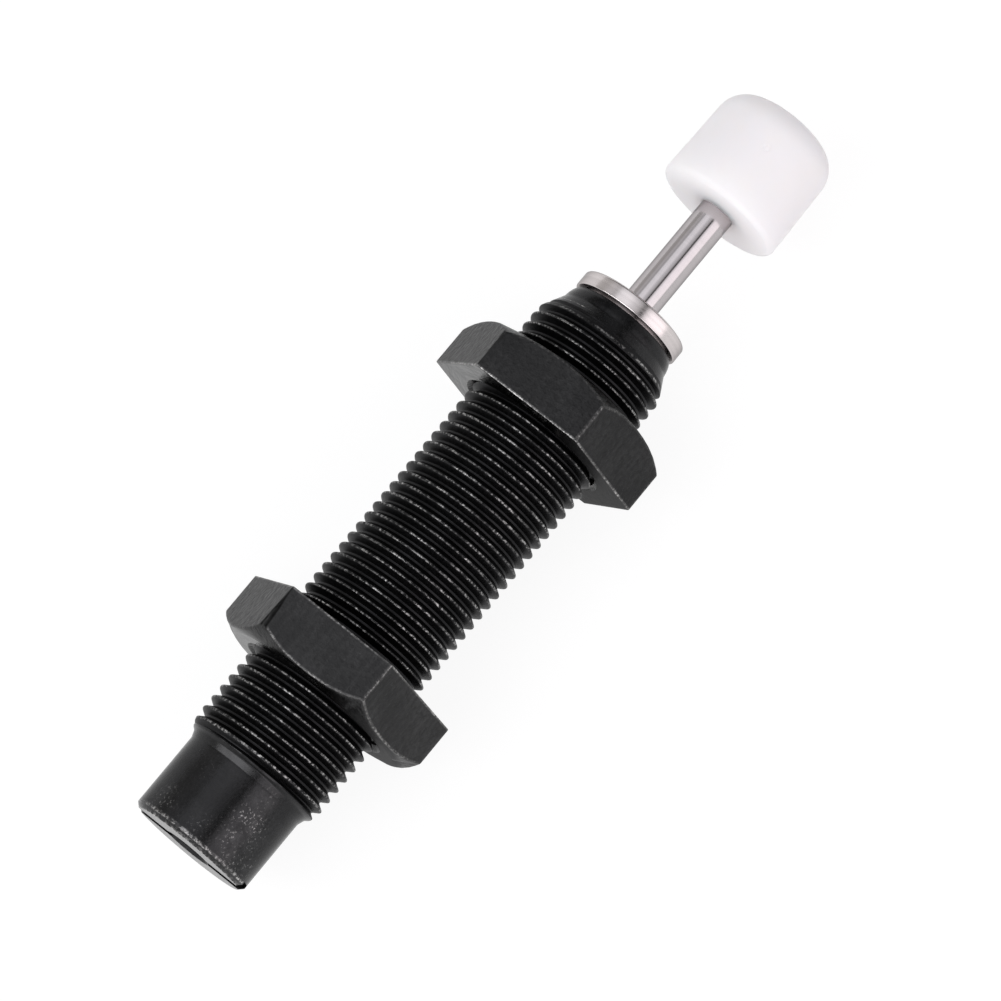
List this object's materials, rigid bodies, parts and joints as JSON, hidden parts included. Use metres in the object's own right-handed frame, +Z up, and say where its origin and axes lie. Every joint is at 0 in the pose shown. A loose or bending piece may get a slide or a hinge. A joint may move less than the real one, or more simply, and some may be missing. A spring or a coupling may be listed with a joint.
{
  "type": "industrial shock absorber",
  "caption": "Small self-compensating hydraulic shock absorber with a threaded body, jam nuts, a stop collar, a sprung piston rod and a moulded bumper.",
  "frame": {"origin": "centre of the body's rear face, on the axis", "axes": "+X along the axis, from the closed rear end towards the bumper; +Z up, with the nuts resting on their lower flats; +Y across the nuts' corners"},
  "size_m": [0.0721, 0.019, 0.0164],
  "materials": {
    "black_oxide": "black oxide, satin, with bare metal showing on worn edges",
    "nickel": "nickel plated, fine turned",
    "chrome": "hard chrome, ground and polished",
    "nylon": "moulded white nylon, slightly translucent",
    "steel": "machined steel, oiled",
    "bronze": "sintered bronze, satin",
    "rubber": "black nitrile rubber",
    "foam": "closed-cell elastomer foam"
  },
  "bodies": {
    "body": {"outer_body": "black_oxide", "fill_plug": "black_oxide", "plug_ball": "steel", "stop_collar": "nickel", "pressure_tube": "steel", "spring_seat": "steel", "return_spring": "steel", "rod_bearing": "bronze", "accumulator_foam": "foam", "gland": "steel", "gland_o_ring": "rubber", "rod_seal": "rubber", "seal_backup": "nylon", "rod_wiper": "rubber"},
    "rod": {"piston_rod": "chrome", "bumper_cap": "nylon", "piston": "steel", "valve_plate": "steel"},
    "check_valve": {"check_ring": "bronze"},
    "rear_nut": {"rear_nut": "black_oxide"},
    "front_nut": {"front_nut": "black_oxide"}
  },
  "joints": [
    {"name": "rod_slide", "type": "slide", "parent": "body", "child": "rod", "axis": [-1, 0, 0], "range_m": [0, 0.01], "stiffness_N_per_m": 660, "springref_m": -0.0075, "deforming": ["return_spring"]},
    {"name": "check_ring_float", "type": "slide", "parent": "rod", "child": "check_valve", "axis": [-1, 0, 0], "range_m": [0, 0.0003]},
    {"name": "rear_nut_travel", "type": "slide", "parent": "body", "child": "rear_nut", "axis": [1, 0, 0], "range_m": [-0.0075, 0.0108]},
    {"name": "front_nut_travel", "type": "slide", "parent": "body", "child": "front_nut", "axis": [1, 0, 0], "range_m": [-0.0108, 0.0036]}
  ]
}
